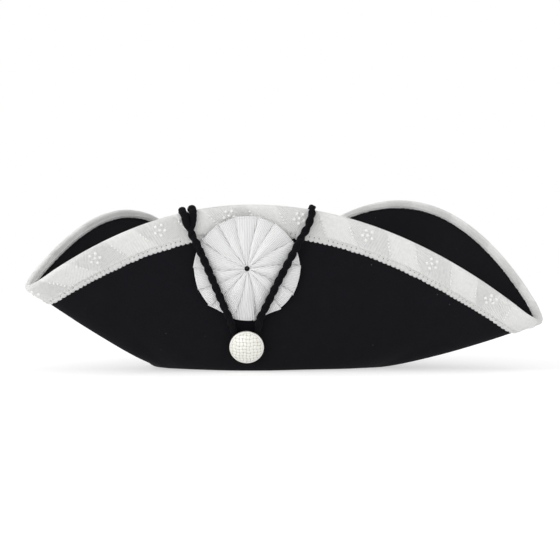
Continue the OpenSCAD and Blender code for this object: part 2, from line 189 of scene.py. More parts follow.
def foot(s):
    a = bearing(s)
    return compass(a) * col(base_r(a) + BREAK_R) + UP * FELT_T / 2


def fall(s):
    """Unit vector from the edge down the brim, square to the edge except round a nose."""
    e = edge_at(s)
    along = unit(edge_at(s + 0.02) - edge_at(s - 0.02))
    outward = unit(np.stack([along[..., 1], -along[..., 0], 0 * along[..., 0]], -1))
    full = full_at(s)
    sunk = UP * col(TIP_DIP * (1 - full) ** 2)
    down = unit(foot(s) + outward * col(BELLY * full) - sunk - e)
    across = np.sum(down * along, -1) * clear_of_nose(s)
    return unit(down - along * col(across))


def brim_point(s, q):
    """q runs from 0 at the end of the flat strip to 1 at the foot."""
    f, full, v = foot(s), full_at(s), fall(s)
    b = edge_at(s) + v * FLAT_W
    pull = (0.3 + 0.25 * full) * np.linalg.norm(f - b, axis=-1)
    start = PANEL_START + (CORNER_START - PANEL_START) * (1 - full) ** 2
    return curve4(b, b + v * col(pull), f + compass(bearing(s)) * col(start), f, col(q))


def mid(s, d):
    s, d = np.broadcast_arrays(np.asarray(s, float), np.asarray(d, float))
    strip = edge_at(s) + fall(s) * col(d)
    run = np.linalg.norm(foot(s) - edge_at(s) - fall(s) * FLAT_W, axis=-1)
    return np.where(col(d) <= FLAT_W, strip, brim_point(s, (d - FLAT_W) / run))


def inward(s, d):
    """Unit vector square to the brim, towards the crown."""
    return unit(np.cross(mid(s, d - 0.5) - mid(s, d + 0.5), mid(s + 0.05, d) - mid(s - 0.05, d)))


# Length along the edge, to step evenly round it
FINE_S = np.linspace(0, STATIONS, 7201)
FINE_L = lengths(edge_at(FINE_S))
EDGE_L = FINE_L[-1]


def station_at(length):
    return np.interp(np.mod(length, EDGE_L), FINE_L, FINE_S)


# ---------------------------------------------------------------- mesh helpers
def grid_faces(rows, cols, start=0, wrap=True, flip=False, keep=None):
    """Quads of a grid of rows x cols points. wrap closes it along the columns."""
    i, j = np.meshgrid(np.arange(rows - 1), np.arange(cols if wrap else cols - 1), indexing="ij")
    if keep is not None:
        i, j = i[keep], j[keep]
    i, j = i.ravel(), j.ravel()
    k = (j + 1) % cols
    q = np.stack([i * cols + j, i * cols + k, (i + 1) * cols + k, (i + 1) * cols + j], 1) + start
    return q[:, ::-1] if flip else q


def bridge(a, b, cols):
    """Quads between two closed rings whose points start at a and b."""
    j = np.arange(cols)
    k = (j + 1) % cols
    return np.stack([a + j, a + k, b + k, b + j], 1)


def make_piece(name, points, faces, uv=None, shade=None, lap=None):
    """A smooth-shaded object from points in millimetres; uv is one pair for each point.

    lap is the u length after which a closed strip's uv starts again.
    """
    mesh = bpy.data.meshes.new(name)
    faces = [list(map(int, f)) for group in faces for f in group]
    mesh.from_pydata((np.asarray(points) * MM).tolist(), [], faces)
    mesh.polygons.foreach_set("use_smooth", [True] * len(mesh.polygons))
    if uv is not None:
        index = np.empty(len(mesh.loops), int)
        mesh.loops.foreach_get("vertex_index", index)
        layer = mesh.uv_layers.new(name="UVMap")
        pairs = np.asarray(uv, float)[index]
        if lap:
            face = np.repeat(np.arange(len(mesh.polygons)), [p.loop_total for p in mesh.polygons])
            most = np.zeros(len(mesh.polygons))
            np.maximum.at(most, face, pairs[:, 0])
            pairs[:, 0] += lap * (most[face] - pairs[:, 0] > lap / 2)
        layer.data.foreach_set("uv", pairs.ravel())
    if shade is not None:
        layer = mesh.color_attributes.new("shade", "FLOAT_COLOR", "POINT")
        rgba = np.repeat(np.asarray(shade, float)[:, None], 4, 1)
        rgba[:, 3] = 1
        layer.data.foreach_set("color", rgba.ravel())
    mesh.validate()
    mesh.update()
    obj = bpy.data.objects.new(name, mesh)
    bpy.context.collection.objects.link(obj)
    return obj


class Parts:
    """Gathers many small closed shapes into one mesh."""

    def __init__(self):
        self.points, self.faces, self.uv, self.count = [], [], [], 0

    def add(self, points, faces, uv):
        self.points.append(points)
        self.faces.append(faces + self.count)
        self.uv.append(uv)
        self.count += len(points)

    def piece(self, name, lap=None):
        return make_piece(name, np.concatenate(self.points), self.faces,
                          np.concatenate(self.uv), lap=lap)


def add_tube(parts, centres, ups, radius, sides=8, squash=1.0):
    """A closed tube with rounded ends. radius and squash may differ from ring to ring."""
    c = np.asarray(centres, float)
    r = np.broadcast_to(np.asarray(radius, float), len(c))
    squash = np.broadcast_to(np.asarray(squash, float), len(c))
    ahead = unit(np.gradient(c, axis=0))
    tips = [(-1.0, 0.05), (-0.8, 0.6), (-0.4, 0.92)]
    pre = np.array([c[0] + ahead[0] * r[0] * t for t, _ in tips])
    post = np.array([c[-1] - ahead[-1] * r[-1] * t for t, _ in tips[::-1]])
    c = np.concatenate([pre, c, post])
    r = np.concatenate([[r[0] * k for _, k in tips], r, [r[-1] * k for _, k in tips[::-1]]])
    ups, squash, ahead = (np.concatenate([[v[0]] * 3, v, [v[-1]] * 3])
                          for v in (ups, squash, ahead))
    up = unit(ups - ahead * np.sum(ups * ahead, -1, keepdims=True))
    side = np.cross(ahead, up)
    a = np.arange(sides) * TAU / sides
    ring = (up[:, None] * (np.cos(a) * squash[:, None])[..., None]
            + side[:, None] * np.sin(a)[:, None])
    points = (c[:, None] + ring * r[:, None, None]).reshape(-1, 3)
    n = len(c)
    uv = np.stack([np.repeat(lengths(c), sides), np.tile(a, n)], 1) / 100
    start, last = parts.count, (n - 1) * sides
    parts.add(points, grid_faces(n, sides, flip=True), uv)
    for face in (np.arange(sides), last + np.arange(sides)[::-1]):
        parts.faces.append(face[None] + start)


def resample(points, step):
    """Catmull-Rom curve through the points, stepped evenly."""
    p = np.asarray(points, float)
    p = np.concatenate([[2 * p[0] - p[1]], p, [2 * p[-1] - p[-2]]])
    out = []
    t = np.linspace(0, 1, 24, endpoint=False)[:, None]
    for a, b, c, d in zip(p[:-3], p[1:-2], p[2:-1], p[3:]):
        out.append(0.5 * (2 * b + (c - a) * t + (2 * a - 5 * b + 4 * c - d) * t * t
                          + (3 * b - a - 3 * c + d) * t ** 3))
    fine = np.concatenate(out + [p[-2:-1]])
    length = lengths(fine[:, :3])
    n = max(2, int(round(length[-1] / step)) + 1)
    at = np.linspace(0, length[-1], n)
    return np.stack([np.interp(at, length, fine[:, k]) for k in range(p.shape[1])], 1)


def finished(obj, body, material, slot, *nodes):
    """Gives a piece its body and material, and hides the CAD nodes it stands for; slot is not used."""
    obj.data.materials.clear()
    obj.data.materials.append(material)
    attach(obj, body)
    if nodes:
        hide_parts(*nodes)


# ---------------------------------------------------------------- material helpers
class Shader:
    """A Principled material with short calls for its nodes."""

    def __init__(self, name, color, rough, **settings):
        self.material = bpy.data.materials.new(name)
        self.material.use_nodes = True
        self.tree = self.material.node_tree
        self.base = self.tree.nodes["Principled BSDF"]
        self.base.inputs["Base Color"].default_value = (*color, 1)
        self.base.inputs["Roughness"].default_value = rough
        for key, value in settings.items():
            self.base.inputs[key.replace("_", " ")].default_value = value

    def node(self, kind, inputs=None, **fields):
        n = self.tree.nodes.new(kind)
        for key, value in fields.items():
            setattr(n, key, value)
        for key, value in (inputs or {}).items():
            self.feed(n.inputs[key], value)
        return n

    def feed(self, socket, value):
        if isinstance(value, bpy.types.NodeSocket):
            self.tree.links.new(value, socket)
        else:
            socket.default_value = value

    def math(self, op, *values):
        n = self.node("ShaderNodeMath", operation=op)
        for socket, value in zip(n.inputs, values):
            self.feed(socket, value)
        return n.outputs[0]

    def add(self, a, b):
        return self.math("ADD", a, b)

    def sub(self, a, b):
        return self.math("SUBTRACT", a, b)

    def mul(self, a, b):
        return self.math("MULTIPLY", a, b)

    def wave(self, value, length):
        """Sine of value, one turn for each length."""
        return self.math("SINE", self.mul(value, TAU / length))

    def uv(self):
        n = self.node("ShaderNodeUVMap", uv_map="UVMap")
        return self.node("ShaderNodeSeparateXYZ", {"Vector": n.outputs[0]}).outputs

    def spot_coords(self):
        return self.node("ShaderNodeTexCoord").outputs["Object"]

    def noise(self, scale, detail=3.0, rough=0.6, vector=None):
        vector = vector or self.spot_coords()
        return self.node("ShaderNodeTexNoise", {"Vector": vector, "Scale": scale,
                                                "Detail": detail, "Roughness": rough}).outputs[0]

    def range(self, value, low, high, to_low=0.0, to_high=1.0):
        return self.node("ShaderNodeMapRange", {
            "Value": value, "From Min": low, "From Max": high, "To Min": to_low,
            "To Max": to_high}).outputs[0]

    def mix(self, factor, a, b):
        n = self.node("ShaderNodeMix", data_type="RGBA")
        self.feed(n.inputs["Factor"], factor)
        self.feed(n.inputs[6], (*a, 1) if isinstance(a, tuple) else a)
        self.feed(n.inputs[7], (*b, 1) if isinstance(b, tuple) else b)
        return n.outputs[2]

    def bump(self, height, distance, strength=1.0):
        n = self.node("ShaderNodeBump", {"Height": height, "Distance": distance,
                                         "Strength": strength})
        self.tree.links.new(n.outputs[0], self.base.inputs["Normal"])

    def color(self, value):
        self.feed(self.base.inputs["Base Color"], value)

    def rough(self, value):
        self.feed(self.base.inputs["Roughness"], value)


def felt_material():
    m = Shader("black_felt", (0.008, 0.0078, 0.01), 0.95, Sheen_Weight=0.015,
               Sheen_Roughness=0.5, Specular_IOR_Level=0.1)
    fibres = m.noise(1600.0, 6.0, 0.75)
    cloud = m.noise(60.0, 3.0)
    lint = m.node("ShaderNodeTexVoronoi", {"Vector": m.spot_coords(), "Scale": 120.0,
                                           "Randomness": 1.0}).outputs["Distance"]
    body = m.mix(m.range(fibres, 0.3, 0.8), (0.002, 0.002, 0.003), (0.011, 0.0105, 0.0135))
    body = m.mix(m.range(cloud, 0.35, 0.75, 0.0, 0.35), body, (0.008, 0.008, 0.011))
    speck = m.mul(m.range(lint, 0.055, 0.03), m.range(m.noise(21.0), 0.52, 0.6))
    m.color(m.mix(speck, body, (0.16, 0.16, 0.17)))
    m.bump(m.add(fibres, m.mul(cloud, 0.6)), 0.00035, 0.7)
    return m.material


FLOWER_REPEAT, FLOWER_D, FLOWER_START = 55.7, 5.6, 31.2


def braid_material():
    """Satin with a herringbone field round each flower; uv is (along, across) in 100 mm."""
    m = Shader("white_braid", (0.78, 0.78, 0.79), 0.42, Sheen_Weight=0.15, Sheen_Roughness=0.4,
               Anisotropic=0.3)
    u, v, _ = m.uv()
    along, across = m.mul(u, 100.0), m.mul(v, 100.0)
    half = FLOWER_REPEAT / 2
    from_start = m.add(along, half - FLOWER_START + FLOWER_REPEAT)
    u = m.sub(m.math("FLOORED_MODULO", from_start, FLOWER_REPEAT), half)
    down = m.sub(across, FLOWER_D)
    left = m.sub(u, m.sub(m.mul(down, 0.8), 13.6))
    right = m.sub(m.add(m.mul(down, 0.65), 18.0), u)
    field = m.mul(m.range(left, -0.3, 0.5), m.range(right, -0.3, 0.5))
    hatch = m.wave(m.sub(m.mul(across, 0.6), m.mul(m.math("ABSOLUTE", u), 0.85)), 1.15)
    satin = m.wave(across, 0.7)
    weave = m.wave(along, 0.8)
    border = m.range(across, BRAID_W - 6.2, BRAID_W - 5.6)
    grain = m.mul(m.mul(satin, weave), 0.5)
    high = m.add(m.mul(hatch, m.add(m.mul(field, 0.6), 0.4)),
                 m.mul(satin, m.sub(0.3, m.mul(field, 0.3))))
    high = m.add(m.mul(high, m.sub(1.0, border)), m.mul(grain, m.add(border, 0.15)))
    m.bump(m.add(high, m.mul(m.noise(1500.0, 3.0), 0.9)), 0.0003, 0.9)
    # Painted shade: the colour darkens along the low lines of the hatch, satin and weave, most in the
    # herringbone field; dirty adds a random darker mottle on top
    line = m.add(m.mul(hatch, m.add(m.mul(field, 0.45), 0.3)), m.mul(m.add(satin, weave), 0.35))
    dark = m.range(line, 0.3, -1.0, 0.03, 0.24)
    dirty = m.mul(m.range(m.noise(420.0, 4.0), 0.35, 0.7), 0.22)
    m.color(m.mix(m.add(dark, dirty), (0.82, 0.82, 0.805), (0.5, 0.5, 0.49)))
    m.rough(m.add(m.mul(field, 0.06), 0.46))
    return m.material


def thread_material(name, color):
    m = Shader(name, color, 0.6, Sheen_Weight=0.2, Sheen_Roughness=0.5)
    u, v, _ = m.uv()
    twist = m.math("SINE", m.add(m.mul(u, TAU / 0.012), m.mul(v, 200.0)))
    m.bump(twist, 0.0001)
    # Painted shade: the colour darkens in the grooves of the twist
    twist_shade = tuple(0.6 * c for c in color)
    m.color(m.mix(m.range(twist, -0.2, -1.0, 0.0, 0.6), color, twist_shade))
    return m.material


def cad_thread_material():
    m = Shader("thread_wraps", (0.012, 0.012, 0.013), 0.7, Sheen_Weight=0.2)
    wave = m.node("ShaderNodeTexWave", {"Vector": m.spot_coords(), "Scale": 900.0,
                                        "Distortion": 2.0}).outputs[1]
    m.bump(wave, 0.0002)
    # Painted shade: the colour darkens where the wraps dip and lightens on their crowns
    m.color(m.mix(wave, (0.006, 0.006, 0.007), (0.02, 0.02, 0.022)))
    return m.material


def ribbon_material():
    """Grosgrain: ribs lie along the pleats; uv is (across the ribs, along them) in 100 mm."""
    m = Shader("white_ribbon", (0.86, 0.86, 0.89), 0.5, Sheen_Weight=0.2, Sheen_Roughness=0.4)
    u, v, _ = m.uv()
    rib = m.wave(u, 0.013)
    fine = m.wave(v, 0.005)
    selvedge = m.range(v, 0.372, 0.376)
    m.bump(m.add(rib, m.mul(fine, 0.15)), 0.0003, 0.9)
    # Painted shade: the colour darkens in the hollows between the ribs; the selvedge band near the rim
    # is made a little darker as well
    dark = m.add(m.range(rib, 0.3, -1.0, 0.0, 0.36), m.mul(selvedge, 0.1))
    m.color(m.mix(dark, (0.88, 0.88, 0.88), (0.5, 0.5, 0.51)))
    return m.material


def cord_material():
    m = Shader("black_cord", (0.006, 0.006, 0.007), 0.95, Sheen_Weight=0.01, Sheen_Roughness=0.5,
               Specular_IOR_Level=0.1)
    u, v, _ = m.uv()
    yarn = m.math("SINE", m.add(m.mul(u, TAU / 0.024), m.mul(v, 300.0)))
    fuzz = m.noise(2600.0, 4.0)
    m.bump(m.add(m.mul(yarn, 0.5), fuzz), 0.0003, 0.8)
    m.color(m.mix(m.range(fuzz, 0.4, 0.8), (0.002, 0.002, 0.003), (0.009, 0.009, 0.011)))
    return m.material


def band_material():
    m = Shader("sweatband", (0.012, 0.012, 0.014), 0.6, Sheen_Weight=0.2, Sheen_Roughness=0.4)
    rib = m.wave(m.uv()[0], 0.013)
    m.bump(rib, 0.0002, 0.8)
    # Painted shade: the colour darkens in the hollows between the ribs and lightens on their crests
    m.color(m.mix(m.range(rib, -0.2, 1.0), (0.007, 0.007, 0.008), (0.022, 0.022, 0.025)))
    return m.material


def buckram_material():
    m = Shader("buckram", (0.05, 0.05, 0.055), 0.85)
    net = m.node("ShaderNodeTexVoronoi", {"Vector": m.spot_coords(), "Scale": 900.0},
                 distance="CHEBYCHEV").outputs["Distance"]
    m.bump(net, 0.0003)
    m.color(m.mix(m.range(net, 0.1, 0.6), (0.03, 0.03, 0.033), (0.09, 0.09, 0.1)))
    return m.material


def button_material():
    """Silvery ivory; the colour attribute holds painted shade: 0 in the weave's grooves, low on a
    painted shadow line inside the rim, and 1 on its crowns.
    """
    m = Shader("button_face", (0.82, 0.81, 0.75), 0.33, Metallic=0.1, Coat_Weight=0.2,
               Coat_Roughness=0.3)
    shade = m.node("ShaderNodeVertexColor", layer_name="shade").outputs[0]
    worn = m.noise(500.0, 4.0)
    tone = m.mix(m.range(worn, 0.3, 0.7), (0.86, 0.85, 0.8), (0.76, 0.75, 0.69))
    # Painted shade: the colour darkens to brown-grey where the shade attribute is low
    m.color(m.mix(m.range(shade, 0.55, 0.05), tone, (0.25, 0.23, 0.19)))
    m.rough(m.range(worn, 0.3, 0.7, 0.28, 0.45))
    m.bump(worn, 0.00005, 0.6)
    return m.material


def metal_material():
    m = Shader("button_metal", (0.6, 0.6, 0.58), 0.35, Metallic=1.0)
    brushed = m.noise(700.0, 5.0)
    m.rough(m.range(brushed, 0.3, 0.7, 0.25, 0.5))
    m.color(m.mix(brushed, (0.5, 0.5, 0.48), (0.68, 0.67, 0.64)))
    m.bump(brushed, 0.00004)
    return m.material


FELT = felt_material()
BRAID = braid_material()
WHITE_THREAD = thread_material("white_thread", (0.82, 0.82, 0.8))
BLACK_THREAD = thread_material("black_thread", (0.012, 0.012, 0.013))
THREAD_WRAPS = cad_thread_material()
RIBBON = ribbon_material()
CORD = cord_material()
BAND = band_material()
BUCKRAM = buckram_material()
BUTTON = button_material()
METAL = metal_material()


# ---------------------------------------------------------------- camera, floor and light
def camera_and_stage():
    azimuth, elevation, distance, view_width = math.radians(52.7), math.radians(0.5), 1.6, 0.4648
    aim = np.array([0, 0, 0.068])
    back = np.array([math.sin(azimuth) * math.cos(elevation),
                     -math.cos(azimuth) * math.cos(elevation), math.sin(elevation)])
    data = bpy.data.cameras.new("camera")
    data.sensor_width = 36
    data.lens = data.sensor_width * distance / view_width
    data.shift_x, data.shift_y = 0.0084, 0.0048
    camera = bpy.data.objects.new("camera", data)
    camera.location = aim + back * distance
    camera.rotation_euler = (math.pi / 2 - elevation, 0, azimuth)
    bpy.context.collection.objects.link(camera)
    bpy.context.scene.camera = camera

    floor_mat = Shader("floor", (0.5, 0.5, 0.5), 0.95, Specular_IOR_Level=0.0,
                       Emission_Color=(1, 1, 1, 1), Emission_Strength=0.55)
    bpy.ops.mesh.primitive_plane_add(size=8, location=(0, 0, -0.0002))
    floor = bpy.context.object
    floor.name = "floor"
    floor.data.materials.append(floor_mat.material)

    world = bpy.data.worlds.new("studio")
    bpy.context.scene.world = world
    world.use_nodes = True
    background = world.node_tree.nodes["Background"]
    background.inputs[0].default_value = (1, 1, 1, 1)
    background.inputs[1].default_value = 1.0

    def softbox(name, place, size, power):
        light = bpy.data.lights.new(name, "AREA")
        light.shape, light.size, light.energy = "SQUARE", size, power
        lamp = bpy.data.objects.new(name, light)
        lamp.location = place
        direction = aim - np.array(place)
        yaw = math.atan2(direction[1], direction[0]) - math.pi / 2
        pitch = math.atan2(direction[2], math.hypot(direction[0], direction[1]))
        lamp.rotation_euler = (math.pi / 2 + pitch, 0, yaw)
        bpy.context.collection.objects.link(lamp)

    softbox("key", (-0.4, -1.7, 1.1), 0.5, 8)
    softbox("low", (0.7, -1.5, 0.08), 0.9, 7)
    bpy.context.scene.view_settings.view_transform = "Standard"


camera_and_stage()


# ---------------------------------------------------------------- felt
DOME_ROWS, WALL_ROWS, BEND_ROWS = 22, 8, 7


def felt_rows(stations):
    a = bearing(stations)

    def crown(share, out, z):
        return compass(a) * col(base_r(a) * share + out) + UP * z

    rows = []
    for t in np.linspace(0, 1, DOME_ROWS):
        lift = math.radians(90 * (1 - t))
        rows.append(crown(max(math.cos(lift), 0) ** (2 / DOME_SQUARE), 0,
                          WALL_H + (CROWN_H - FELT_T / 2 - WALL_H)
                          * math.sin(lift) ** (2 / DOME_SQUARE)))
    for z in np.linspace(WALL_H, FELT_T / 2 + BREAK_R, WALL_ROWS + 2)[1:-1]:
        rows.append(crown(1, 0, z))
    for t in np.linspace(0, math.pi / 2, BEND_ROWS):
        rows.append(crown(1, BREAK_R * (1 - math.cos(t)),
                          FELT_T / 2 + BREAK_R * (1 - math.sin(t))))
    for q in np.linspace(1, 0, 31)[1:]:
        rows.append(brim_point(stations, np.full_like(stations, q)))
    for d in np.linspace(FLAT_W, 0, 9)[1:]:
        rows.append(mid(stations, d))
    return np.array(rows)


def felt_hood():
    stations = np.arange(0, STATIONS, 0.25)
    grid = felt_rows(stations)
    rows, cols = grid.shape[:2]
    down = np.gradient(grid, axis=0)
    round_ = np.roll(grid, -1, 1) - np.roll(grid, 1, 1)
    with np.errstate(invalid="ignore"):
        normal = unit(np.cross(down, round_))
    normal[0] = (0, 0, 1)
    normal[DOME_ROWS + WALL_ROWS + BEND_ROWS - 1] = (0, 0, 1)
    # The felt isn't dead flat: a slow ripple, and the crown a little dented
    ripple = (np.sin(grid[..., 0] / 23 + 1) * np.sin(grid[..., 1] / 19)
              * np.sin(grid[..., 2] / 17 + 2))
    fade = smooth((np.arange(rows) - 2) / 6) * smooth((rows - 12 - np.arange(rows)) / 8)
    grid = grid + normal * (ripple * fade[:, None] * 0.35)[..., None]
    top = grid + normal * FELT_T / 2
    under = grid - normal * FELT_T / 2
    under[..., 2] = np.maximum(under[..., 2], 0)
    top_points = np.concatenate([top[0, :1], top[1:].reshape(-1, 3)])
    under_points = np.concatenate([under[0, :1], under[1:].reshape(-1, 3)])
    n = len(top_points)
    ring = np.arange(cols)
    fan = np.stack([0 * ring, ring + 1, (ring + 1) % cols + 1], 1)
    last = 1 + (rows - 2) * cols
    rim = bridge(n + last, last, cols)
    faces = [fan, fan[:, ::-1] + n, grid_faces(rows - 1, cols, 1, flip=True),
             grid_faces(rows - 1, cols, 1 + n), rim]
    hood = make_piece("felt_hood_nap", np.concatenate([top_points, under_points]), faces)
    finished(hood, "hat", FELT, "black_felt", "felt_hood")


felt_hood()


# ---------------------------------------------------------------- braid
PICOT = 4.0
COLUMNS_A_PICOT = 6
HOLE_UP = 3.5
PICOTS = int(round(EDGE_L / PICOT))
PERIODS = int(round(EDGE_L / FLOWER_REPEAT))


def braid_rows():
    """(kind, value) rows across the braid, from the inside border over the fold to the picots."""
    rows = [("in", d) for d in (BRAID_IN + 0.4, BRAID_IN, 3.0, 2.0, 1.0)]
    rows += [("fold", a) for a in np.linspace(90, -90, 9)]
    rows += [("out", d) for d in (1.5, 3, 5, 7.5, 10, 12.5, 14.5)]
    rows += [("out", BRAID_W - d) for d in (5.3, 4.5, HOLE_UP, 3.1, 2.7, 1.3, 0)]
    return rows


def edge_braid():
    cols = PICOTS * COLUMNS_A_PICOT
    length = np.arange(cols) * EDGE_L / cols
    s = station_at(length)
    phase = np.arange(cols) % COLUMNS_A_PICOT
    picot = np.array([0.0, 0.6, 0.95, 1.0, 0.95, 0.6])[phase]
    rng = np.random.default_rng(4)
    frays = rng.uniform(-0.4, 0.4, cols)
    open_ = (phase == 0) & np.repeat(rng.random(PICOTS) < 0.7, COLUMNS_A_PICOT)
    knots = np.arange(0, cols, 9)
    wander = np.interp(np.arange(cols), knots, rng.uniform(-0.35, 0.35, len(knots)))
    rows = braid_rows()
    e, v, n0 = edge_at(s), fall(s), inward(s, np.zeros_like(s))
    skins = []
    for r in (BRAID_OFF, BRAID_OFF - BRAID_T):
        skin = []
        for kind, value in rows:
            if kind == "fold":
                a = math.radians(value)
                skin.append(e - v * r * math.cos(a) + n0 * r * math.sin(a))
                continue
            side = 1 if kind == "in" else -1
            d = np.full_like(s, value)
            off = np.full_like(s, r)
            if kind == "in" and value > BRAID_IN:
                d = d + frays
                off = off * 0 + FELT_T / 2 + BRAID_GAP + BRAID_T * (0.35 if r == BRAID_OFF else 0.2)
            low = (value - BRAID_W + HOLE_UP) / HOLE_UP
            if kind == "out" and low > 0:
                d = d + low * (picot - 0.6 + wander)
                dome = 0.25 * math.sin(low * math.pi)
                off = off + (dome * picot if r == BRAID_OFF else 0)
            if kind == "out" and low == 1:
                off = off * 0 + FELT_T / 2 + BRAID_GAP + BRAID_T * (0.55 if r == BRAID_OFF else 0.3)
            skin.append(mid(s, d) + inward(s, d) * col(side * off))
        skins.append(np.array(skin))
    outer, inner = skins
    count = len(rows)
    # A small hole lies between each two picots
    hole_row = rows.index(("out", BRAID_W - HOLE_UP))
    keep = np.ones((count - 1, cols), bool)
    keep[hole_row, open_] = False
    keep[hole_row + 1, open_] = False
    n = count * cols
    faces = [grid_faces(count, cols, 0, keep=keep), grid_faces(count, cols, n, flip=True, keep=keep)]
    last = (count - 1) * cols
    faces += [bridge(n, 0, cols), bridge(last, n + last, cols)]
    h = np.flatnonzero(open_)
    g = (h + 1) % cols
    a, b, c = ((hole_row + q) * cols for q in range(3))
    round_hole = [a + h, a + g, b + g, c + g, c + h, b + h]
    for p, q in zip(round_hole, round_hole[1:] + round_hole[:1]):
        faces.append(np.stack([p, q, n + q, n + p], 1))
    half_fold = math.pi * BRAID_OFF
    across = np.array([{"in": -half_fold - d, "fold": -half_fold * (d + 90) / 180, "out": d}[kind]
                       for kind, d in rows])
    pattern = PERIODS * FLOWER_REPEAT
    along = length[None] * pattern / EDGE_L
    uv = np.stack(np.broadcast_arrays(along, across[:, None]), -1).reshape(-1, 2) / 100
    parts = Parts()
    parts.add(np.concatenate([outer.reshape(-1, 3), inner.reshape(-1, 3)]), faces[0],
              np.concatenate([uv, uv]))
    parts.faces += faces[1:]
    add_dots(parts)
    braid = parts.piece("edge_braid_jacquard", pattern / 100)
    finished(braid, "hat", BRAID, "white_braid", "edge_braid")


def dot_shape(sides=8):
    """A low domed dot of radius 1 and height 1, closed underneath."""
    rings = [(1.0, -0.3), (0.97, 0.25), (0.75, 0.68), (0.4, 0.93)]
    a = np.arange(sides) * TAU / sides
    points = np.concatenate([np.stack([r * np.cos(a), r * np.sin(a), 0 * a + z], 1)
                             for r, z in rings] + [[[0, 0, 1.0]]])
    quads = grid_faces(len(rings), sides)
    top = len(points) - 1
    ring = np.arange(sides)
    fan = np.stack([(len(rings) - 1) * sides + ring, (len(rings) - 1) * sides + (ring + 1) % sides,
                    0 * ring + top], 1)
    return points, quads, fan, np.arange(sides)[::-1]


def dot_places():
    """(along, across, radius, height) of each raised dot in the braid."""
    places = []
    scale = EDGE_L / (PERIODS * FLOWER_REPEAT)
    for k in range(PERIODS):
        centre = k * FLOWER_REPEAT + FLOWER_START
        places.append((centre, FLOWER_D, 1.45, 0.9))
        for p in range(5):
            a = TAU * (p + 0.25) / 5
            places.append((centre + 4.1 * math.cos(a), FLOWER_D + 4.1 * math.sin(a), 1.5, 0.9))
        for q in range(4):
            places.append((centre - 15.5 + 1.6 * q, FLOWER_D - 1.5 + 2.2 * q, 1.05, 0.85))
        for q in range(5):
            places.append((centre + 16.3 + 1.4 * q, FLOWER_D - 2.4 + 2.4 * q, 1.05, 0.85))
    places = [(u * scale, d, r, h) for u, d, r, h in places]
    return places + [((k + 0.5) * EDGE_L / PICOTS, BRAID_W - 5.0, 0.6, 0.3) for k in range(PICOTS)]


def add_dots(parts):
    shape, quads, fan, base = dot_shape()
    places = np.array(dot_places())
    s, d = station_at(places[:, 0]), places[:, 1]
    out = -inward(s, d)
    down = fall(s)
    side = np.cross(out, down)
    centre = mid(s, d) + out * BRAID_OFF
    for c, x, y, z, (r, h) in zip(centre, side, down, out, places[:, 2:]):
        points = c + (x * shape[:, :1] + y * shape[:, 1:2]) * r + z * shape[:, 2:] * h
        start = parts.count
        parts.add(points, quads, np.tile([[0.3, 0.05]], (len(points), 1)))
        parts.faces.append(fan + start)
        parts.faces.append(base[None] + start)


edge_braid()


def add_stitch(parts, places, ups):
    """One stitch: a thread that dips into the cloth at both ends."""
    add_tube(parts, places, ups, THREAD_D / 2 * np.array([0.7, 1, 1, 1, 0.7]), 6)


def braid_thread():
    parts = Parts()
    pitch, stitch = 3.0, 2.3
    for d, side in ((BRAID_W - 4.4, -1), (BRAID_IN - 1.5, 1)):
        count = int(EDGE_L / pitch)
        start = np.arange(count) * EDGE_L / count
        s = station_at(start[:, None] + np.linspace(0, stitch, 5))
        n = inward(s, d) * side
        lift = BRAID_OFF + THREAD_D * np.array([-0.25, 0.3, 0.42, 0.3, -0.25])
        for places, ups in zip(mid(s, d) + n * col(lift), n):
            add_stitch(parts, places, ups)
    finished(parts.piece("braid_stitches"), "hat", WHITE_THREAD, "white_thread", "braid_thread")


braid_thread()


# ---------------------------------------------------------------- sweatband
BAND_R = 88.0


def oval(a, inset):
    r = 1 / np.hypot(np.cos(a) / (HEAD_W / 2 - inset), np.sin(a) / (HEAD_L / 2 - inset))
    return compass(a) * col(r)


def sweatband():
    cols = 360
    a = np.arange(cols) * TAU / cols
    profile = [(0, 0.25), (0.25, 0.05), (0.6, 0), (0.95, 0.05), (1.2, 0.3), (1.2, 1.5), (1.15, 3),
               (1.2, 6), (1.2, 16), (1.2, 26), (1.2, 31), (1.35, 32.4), (1.3, 33.6), (1.0, 34),
               (0.4, 34), (0.15, 33.5), (0.0, 32), (0.0, 20), (0.0, 8)]
    wave = 0.2 * np.sin(7 * a) + 0.12 * np.sin(17 * a + 1)
    rows = []
    for inset, z in profile:
        drift = wave * (z / BAND_H) * 0.8
        rows.append(oval(a, BAND_GAP + inset + np.abs(drift)) + UP * z)
    count = len(profile)
    around = np.arange(cols) * (TAU * BAND_R / cols)
    across = np.array([z for _, z in profile])
    uv = np.stack(np.broadcast_arrays(around[None], across[:, None]), -1).reshape(-1, 2) / 100
    quads = grid_faces(count, cols)
    close = bridge((count - 1) * cols, 0, cols)
    band = make_piece("sweatband_ribbon", np.array(rows).reshape(-1, 3), [quads, close], uv,
                     lap=TAU * BAND_R / 100)
    finished(band, "hat", BAND, "sweatband", "sweatband")


def sweatband_thread():
    parts = Parts()
    count = 96
    for k in range(count):
        a = TAU * (k + 0.5) / count + np.linspace(-0.5, 0.5, 5) * BAND_STITCH / BAND_R
        sink = np.array([0.5, -0.1, -0.25, -0.1, 0.5]) * THREAD_D
        ring = oval(a, BAND_GAP + BAND_T) + UP * 6.0
        inside = unit(-ring * np.array([1, 1, 0]))
        add_stitch(parts, ring - inside * col(sink), inside)
    finished(parts.piece("sweatband_stitches"), "hat", BLACK_THREAD, "black_thread",
             "sweatband_thread")


sweatband()
sweatband_thread()


# ---------------------------------------------------------------- places on the trimmed panel
RIGHT = compass(FACE_A + math.pi / 2)


